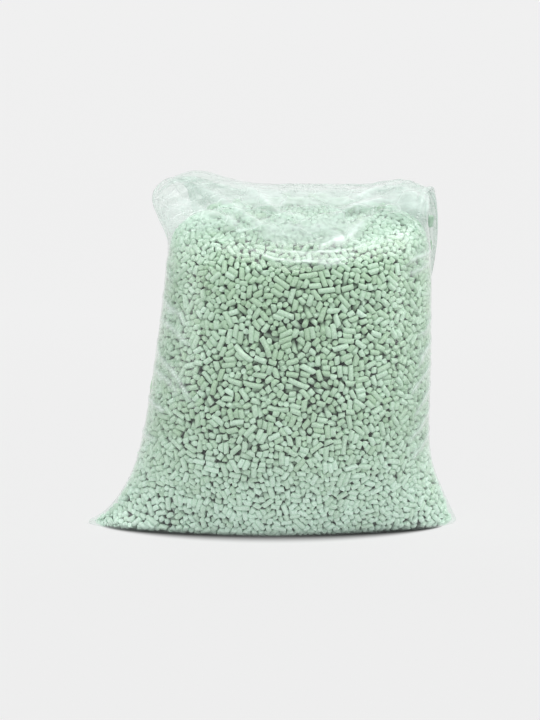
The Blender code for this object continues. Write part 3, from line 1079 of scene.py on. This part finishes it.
def ridge_sharpness(film):
    """How sharply the film is folded at each point, 0 where it is smooth."""
    outward = film_normals(film)
    sharp = np.zeros(film.shape[:2])
    round_bend = (np.roll(film, 1, axis=1) + np.roll(film, -1, axis=1)) / 2 - film
    along_bend = np.zeros_like(film)
    along_bend[1:-1] = (film[2:] + film[:-2]) / 2 - film[1:-1]
    for bend in (round_bend, along_bend):
        sharp = np.maximum(sharp, np.abs((bend * outward).sum(axis=-1)) * 1000)
    ring = np.arange(film.shape[0])[:, None] / film.shape[0]
    return np.clip((sharp - 0.06) / 0.25, 0, 1) * np.clip((ring - 0.2) / 0.1, 0, 1)


def creased(film, outward):
    """Raises the pinched folds that run over the front of the film."""
    rings = film.shape[0]
    x = film[..., 0] * 1000
    up = (film[..., 2] * math.cos(FRONT_TILT) + film[..., 1] * math.sin(FRONT_TILT)) * 1000
    front = np.clip((0.35 - outward[..., 1]) / 0.3, 0, 1)
    ring = np.arange(rings)[:, None] / rings
    front = front * np.clip((0.86 - ring) / 0.04, 0, 1) * np.clip((ring - 0.14) / 0.04, 0, 1)
    rise = np.zeros(x.shape)
    for height, width, *points in CREASES:
        lengths = [math.dist(a, b) for a, b in zip(points, points[1:])]
        whole, run = sum(lengths), 0
        best = np.zeros(x.shape)
        for (ax, az), (bx, bz), length in zip(points, points[1:], lengths):
            dx, dz = (bx - ax) / length, (bz - az) / length
            along = np.clip((x - ax) * dx + (up - az) * dz, 0, length)
            away = np.hypot(x - ax - along * dx, up - az - along * dz)
            place = (run + along) / whole
            taper = np.clip(np.minimum(place + 0.25, (1 - place) * 1.6), 0, 0.5) * 2
            best = np.maximum(best, taper * np.exp(-((away / width) ** 1.3)))
            run += length
        rise = np.maximum(rise, best * height)
    return film + outward * (rise * front / 1000)[..., None], rise * front


def film_mesh(film, whiteness, free):
    """The tube as a mesh that knows where it is white and where it hangs free."""
    rings, columns, _ = film.shape
    index = np.arange(rings * columns).reshape(rings, columns)
    after = np.roll(index, -1, axis=1)
    faces = np.stack([index[:-1], after[:-1], after[1:], index[1:]], axis=-1).reshape(-1, 4)
    mesh = bpy.data.meshes.new("film_bag_skin")
    mesh.from_pydata(film.reshape(-1, 3).tolist(), [], faces.tolist())
    for name, values in (("whiteness", whiteness), ("free_film", free)):
        layer = mesh.attributes.new(name, "FLOAT", "POINT")
        layer.data.foreach_set("value", values.ravel())
    shape = bmesh.new()
    shape.from_mesh(mesh)
    bmesh.ops.remove_doubles(shape, verts=shape.verts, dist=0.000005)
    bmesh.ops.dissolve_degenerate(shape, edges=shape.edges, dist=0.000005)
    for face in shape.faces:
        face.smooth = True
    shape.to_mesh(mesh)
    shape.free()
    return mesh


def crumpled_facets(tree, place):
    """Facets some 20 mm across with sharp pale edges: the edges alone, and edges and facets together."""
    drift = add_node(
        tree, "ShaderNodeTexNoise", {"Scale": 40.0, "Detail": 1.0}, {"Vector": place.outputs["Object"]}
    )
    bent = add_node(
        tree,
        "ShaderNodeVectorMath",
        {"operation": "MULTIPLY_ADD", 1: (0.022, 0.022, 0.022)},
        {0: drift.outputs["Color"], 2: place.outputs["Object"]},
    )
    rims = add_node(
        tree,
        "ShaderNodeTexVoronoi",
        {"feature": "DISTANCE_TO_EDGE", "Scale": 44.0},
        {"Vector": bent.outputs[0]},
    )
    cells = add_node(tree, "ShaderNodeTexVoronoi", {"Scale": 44.0}, {"Vector": bent.outputs[0]})
    rim = add_node(
        tree,
        "ShaderNodeMapRange",
        {"From Max": 0.034, "To Min": 1.0, "To Max": 0.0, "interpolation_type": "SMOOTHSTEP"},
        {"Value": rims.outputs["Distance"]},
    )
    tone = add_node(tree, "ShaderNodeSeparateColor", None, {0: cells.outputs["Color"]})
    facet = add_node(
        tree, "ShaderNodeMath", {"operation": "MULTIPLY", 1: 0.09}, {0: tone.outputs[0]}
    )
    crumple = add_node(
        tree,
        "ShaderNodeMath",
        {"operation": "MULTIPLY_ADD", 1: 0.20},
        {0: rim.outputs[0], 2: facet.outputs[0]},
    )
    return rim, crumple


def film_material():
    """Blown low-density polyethylene film: clear, glossy, faintly milky where seen edge-on, with painted
    highlights along its folds.
    """
    material = blank_material("blown_polyethylene")
    tree = material.node_tree
    place = add_node(tree, "ShaderNodeTexCoord")
    facing = add_node(tree, "ShaderNodeLayerWeight", {"Blend": 0.30})
    # soft die lines and handling marks some 12 mm apart
    marks = add_node(
        tree, "ShaderNodeTexNoise", {"Scale": 85.0, "Detail": 4.0, "Distortion": 1.2},
        {"Vector": place.outputs["Object"]},
    )
    fine = add_node(
        tree, "ShaderNodeTexNoise", {"Scale": 330.0, "Detail": 2.0}, {"Vector": place.outputs["Object"]}
    )
    patchy = add_node(
        tree, "ShaderNodeMapRange", {"From Min": 0.35, "From Max": 0.75, "To Min": 0.7, "To Max": 1.5},
        {"Value": marks.outputs["Fac"]},
    )
    edge = add_node(
        tree, "ShaderNodeMath", {"operation": "MULTIPLY", 1: 0.75}, {0: facing.outputs["Facing"]}
    )
    edge_curve = add_node(tree, "ShaderNodeMath", {"operation": "POWER", 1: 2.5}, {0: edge.outputs[0]})
    # film whitens where it lies double, and carries painted highlight along its folds
    whiteness = add_node(tree, "ShaderNodeAttribute", {"attribute_name": "whiteness"})
    milky = add_node(
        tree,
        "ShaderNodeMath",
        {"operation": "MULTIPLY_ADD"},
        {0: whiteness.outputs["Fac"], 1: patchy.outputs[0], 2: edge_curve.outputs[0]},
    )
    # crumpled only where the film hangs free
    rim, crumple = crumpled_facets(tree, place)
    free = add_node(tree, "ShaderNodeAttribute", {"attribute_name": "free_film"})
    share = add_node(
        tree,
        "ShaderNodeMath",
        {"operation": "MULTIPLY_ADD", "use_clamp": True},
        {0: crumple.outputs[0], 1: free.outputs["Fac"], 2: milky.outputs[0]},
    )
    raised = add_node(
        tree, "ShaderNodeMath", {"operation": "MULTIPLY"}, {0: rim.outputs[0], 1: free.outputs["Fac"]}
    )
    soft = add_node(
        tree,
        "ShaderNodeMath",
        {"operation": "MULTIPLY_ADD", 1: 0.35},
        {0: fine.outputs["Fac"], 2: marks.outputs["Fac"]},
    )
    height = add_node(
        tree,
        "ShaderNodeMath",
        {"operation": "MULTIPLY_ADD", 1: 0.5},
        {0: raised.outputs[0], 2: soft.outputs[0]},
    )
    bump = add_node(
        tree, "ShaderNodeBump", {"Strength": 0.5, "Distance": 0.0012}, {"Height": height.outputs[0]}
    )
    milk = add_node(
        tree,
        "ShaderNodeBsdfPrincipled",
        {
            "Base Color": (*hex_colour(FILM_MILK), 1),
            "Roughness": 0.16,
            "IOR": 1.51,
            "Specular IOR Level": 0.5,
        },
        {"Normal": bump.outputs["Normal"]},
    )
    clear = add_node(tree, "ShaderNodeBsdfTransparent", {"Color": (*hex_colour("FCFEFD"), 1)})
    skin = add_node(
        tree, "ShaderNodeMixShader", None, {0: share.outputs[0], 1: clear.outputs[0], 2: milk.outputs[0]}
    )
    gloss = add_node(
        tree,
        "ShaderNodeBsdfGlossy",
        {"Roughness": 0.10, "Color": (1, 1, 1, 1)},
        {"Normal": bump.outputs["Normal"]},
    )
    # both faces of the thin film reflect, alike from inside and outside
    turned = add_node(tree, "ShaderNodeNewGeometry")
    index = add_node(
        tree,
        "ShaderNodeMapRange",
        {"To Min": 1.5, "To Max": 1 / 1.5},
        {"Value": turned.outputs["Backfacing"]},
    )
    sheen = add_node(
        tree, "ShaderNodeFresnel", None, {"IOR": index.outputs[0], "Normal": bump.outputs["Normal"]}
    )
    whole = add_node(
        tree, "ShaderNodeMixShader", None, {0: sheen.outputs[0], 1: skin.outputs[0], 2: gloss.outputs[0]}
    )
    add_node(tree, "ShaderNodeOutputMaterial", None, {"Surface": whole.outputs[0]})
    return material


# ---------------------------------------------------------------- settings


class LitterSettings(PropertyGroup):
    pellet_diameter: FloatProperty(
        name="Pellet diameter", description="Width of one extruded pellet", default=0.0035, unit="LENGTH"
    )
    pellet_count: IntProperty(name="Pellets", description="Pellets in the outer layer", default=9300)
    shell_depth: FloatProperty(
        name="Layer depth", description="How deep separate pellets go", default=0.0080, unit="LENGTH"
    )
    pellet_proud: FloatProperty(
        name="Pellets proud", description="How far they may stand past the bed", default=0.0002, unit="LENGTH"
    )


class FilmSettings(PropertyGroup):
    flat_width: FloatProperty(
        name="Flat width", description="Width of the empty tube lying flat", default=0.246, unit="LENGTH"
    )
    flat_length: FloatProperty(
        name="Flat length", description="From the bottom weld to the mouth", default=0.350, unit="LENGTH"
    )
    film_clear: FloatProperty(
        name="Clear of litter",
        description="Gap from the bed of litter to the film",
        default=0.0004,
        unit="LENGTH",
    )
    veil: FloatProperty(
        name="Veil", description="Milkiness of one layer of film", default=0.045, subtype="FACTOR"
    )


class StageSettings(PropertyGroup):
    backdrop: FloatVectorProperty(
        name="Backdrop", description="Colour of the paper sweep", default=(0.15, 0.15, 0.15), subtype="COLOR"
    )
    camera_height: FloatProperty(
        name="Look down",
        description="Angle the camera looks down by",
        default=math.radians(6),
        subtype="ANGLE",
    )


# ---------------------------------------------------------------- operators


class LITTERBAG_OT_core(Operator):
    """Builds the shaded middle of the heap"""

    bl_idname = "litterbag.core"
    bl_label = "Heap core"

    def execute(self, context):
        mesh = litter_core_mesh(context.scene.litter.shell_depth - 0.001)
        core = add_piece("litter_core", mesh, core_material())
        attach(core, ROOT)
        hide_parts("pellet_fill")
        return {"FINISHED"}


class LITTERBAG_OT_pellets(Operator):
    """Packs the outer layer of pellets and finishes the single ones"""

    bl_idname = "litterbag.pellets"
    bl_label = "Litter pellets"

    def execute(self, context):
        material = pellet_material("extruded_bean_fibre", True)
        single = pellet_material("extruded_bean_fibre_single", False)
        for piece in pellet_pieces(context.scene.litter, material):
            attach(piece, ROOT)
        for name in PELLET_NODES:
            for slot in frame["nodes"][name].material_slots:
                slot.material = single
        return {"FINISHED"}


class LITTERBAG_OT_film(Operator):
    """Lays the clear film over the litter"""

    bl_idname = "litterbag.film"
    bl_label = "Film bag"

    def execute(self, context):
        settings = context.scene.film
        piece = add_piece("film_skin", film_mesh(*settle_film(settings)), film_material())
        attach(piece, ROOT)
        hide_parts("film_bag")
        return {"FINISHED"}


def open_to_light(x, y):
    """Painted contact shadow: the share of the paper's glow kept, little under the bag's rounded edge, all
    further out.
    """
    across = np.clip(np.abs(x) / FOOTPRINT[0], 0, 1)
    edge = FOOTPRINT[1] * (1 - across**2) ** 0.55
    away = np.hypot(np.maximum(np.abs(y) - edge, 0), np.maximum(np.abs(x) - FOOTPRINT[0], 0))
    share = np.clip(away / (0.003 + SHADE_REACH * (1 - across**2)), 0, 1)
    return 0.02 + 0.98 * share**2 * (3 - 2 * share)


def sweep_mesh():
    """Floor and backdrop in one sheet, joined by a large curve, with a fine grid round the bag."""
    near = np.linspace(-0.12, 0.12, 121)
    profile = [(-3.0, 0.0), *((y, 0.0) for y in near), (1.6, 0.0)]
    profile += [(1.6 + math.sin(a), 1 - math.cos(a)) for a in np.linspace(0.1, math.pi / 2, 14)]
    profile.append((2.6, 3.5))
    shape = bmesh.new()
    rows = [[shape.verts.new((x, y, z)) for y, z in profile] for x in (-3.5, *near, 3.5)]
    for one, other in zip(rows, rows[1:]):
        for k in range(len(profile) - 1):
            face = shape.faces.new((one[k], other[k], other[k + 1], one[k + 1]))
            face.smooth = True
    mesh = bpy.data.meshes.new("floor_sweep")
    shape.to_mesh(mesh)
    shape.free()
    places = np.empty(len(mesh.vertices) * 3)
    mesh.vertices.foreach_get("co", places)
    # the painted contact shadow, kept on the paper as an attribute
    layer = mesh.attributes.new("open_to_light", "FLOAT", "POINT")
    layer.data.foreach_set("value", open_to_light(places[0::3], places[1::3]))
    return mesh


def soft_box(name, place, size, power, lit, target=(0, 0, 0.1)):
    """A soft box; lit is the collection it shines on, so that the floor keeps its even tone."""
    light = bpy.data.lights.new(name, "AREA")
    light.shape = "RECTANGLE"
    light.size, light.size_y = size
    light.energy = power
    lamp = bpy.data.objects.new(name, light)
    lamp.location = place
    lamp.rotation_euler = (Vector(target) - Vector(place)).to_track_quat("-Z", "Y").to_euler()
    bpy.context.scene.collection.objects.link(lamp)
    lamp.light_linking.receiver_collection = lit
    return lamp


def paper_material(settings):
    """Matt paper with an even glow of its own and a painted contact shadow: less glow where the bag stands in
    the way.
    """
    material = blank_material("matt_paper_sweep")
    tree = material.node_tree
    paper = add_node(tree, "ShaderNodeBsdfDiffuse", {"Color": (*settings.backdrop, 1)})
    reach = add_node(tree, "ShaderNodeAttribute", {"attribute_name": "open_to_light"})
    strength = add_node(
        tree,
        "ShaderNodeMath",
        {"operation": "MULTIPLY", 1: BACKDROP_TONE - settings.backdrop[0] * SKY},
        {0: reach.outputs["Fac"]},
    )
    glow = add_node(tree, "ShaderNodeEmission", None, {"Strength": strength.outputs[0]})
    both = add_node(tree, "ShaderNodeAddShader", None, {0: paper.outputs[0], 1: glow.outputs[0]})
    add_node(tree, "ShaderNodeOutputMaterial", None, {"Surface": both.outputs[0]})
    return material


def studio_world():
    """Even light, brighter low down."""
    world = bpy.data.worlds.new("studio")
    world.use_nodes = True
    sky = world.node_tree
    sky.nodes.clear()
    # as bright as the paper down at the horizon, fading to the even light overhead
    around = add_node(sky, "ShaderNodeTexCoord")
    up = add_node(sky, "ShaderNodeSeparateXYZ", None, {0: around.outputs["Generated"]})
    fade = add_node(
        sky,
        "ShaderNodeMapRange",
        {"From Min": 0.0, "From Max": 0.26, "To Min": SKY_LOW, "To Max": SKY},
        {"Value": up.outputs["Z"]},
    )
    light = add_node(sky, "ShaderNodeBackground", None, {"Strength": fade.outputs[0]})
    add_node(sky, "ShaderNodeOutputWorld", None, {0: light.outputs[0]})
    return world


def front_camera(tilt):
    """A camera in front of the bag, looking down by that angle."""
    camera = bpy.data.cameras.new("camera")
    camera.lens = 96.6
    viewer = bpy.data.objects.new("camera", camera)
    back = Vector((0, -math.cos(tilt), math.sin(tilt)))
    viewer.location = Vector((-0.0015, 0, 0.1038)) + back * 1.2
    viewer.rotation_euler = (-back).to_track_quat("-Z", "Y").to_euler()
    return viewer


class LITTERBAG_OT_stage(Operator):
    """Sets the floor, the light and the camera"""

    bl_idname = "litterbag.stage"
    bl_label = "Stage"

    def execute(self, context):
        scene = context.scene
        settings = scene.stage
        floor = bpy.data.objects.new("floor_sweep", sweep_mesh())
        floor.data.materials.append(paper_material(settings))
        scene.collection.objects.link(floor)
        floor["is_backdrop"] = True
        scene.world = studio_world()
        lit = bpy.data.collections.new("bag_lit")
        for piece in scene.objects:
            if piece.type == "MESH" and piece != floor:
                lit.objects.link(piece)
        soft_box("key_top", (0.4, -0.7, 1.6), (1.9, 1.6), 30, lit)
        soft_box("side_right", (1.5, -0.6, 0.7), (0.4, 1.4), 3.0, lit)
        soft_box("side_left", (-1.6, -0.5, 0.6), (1.0, 1.6), 7.5, lit)
        viewer = front_camera(settings.camera_height)
        scene.collection.objects.link(viewer)
        scene.camera = viewer
        scene.view_settings.view_transform = "Standard"
        return {"FINISHED"}


class LITTERBAG_PT_panel(Panel):
    """Lists the parts of the bag in the order they are built"""

    bl_idname = "LITTERBAG_PT_panel"
    bl_label = "Litter bag"
    bl_space_type = "VIEW_3D"
    bl_region_type = "UI"
    bl_category = "Litter bag"

    def draw(self, context):
        column = self.layout.column()
        for maker in MAKERS:
            column.operator(maker.bl_idname)


MAKERS = (LITTERBAG_OT_core, LITTERBAG_OT_pellets, LITTERBAG_OT_film, LITTERBAG_OT_stage)
GROUPS = (("litter", LitterSettings), ("film", FilmSettings), ("stage", StageSettings))


def register():
    for name, group in GROUPS:
        bpy.utils.register_class(group)
        setattr(bpy.types.Scene, name, PointerProperty(type=group))
    for maker in (*MAKERS, LITTERBAG_PT_panel):
        bpy.utils.register_class(maker)


def unregister():
    for maker in (*MAKERS, LITTERBAG_PT_panel):
        bpy.utils.unregister_class(maker)
    for name, group in GROUPS:
        delattr(bpy.types.Scene, name)
        bpy.utils.unregister_class(group)


def main():
    register()
    bpy.ops.litterbag.core()
    bpy.ops.litterbag.pellets()
    bpy.ops.litterbag.film()
    bpy.ops.litterbag.stage()


if __name__ == "__main__":
    main()
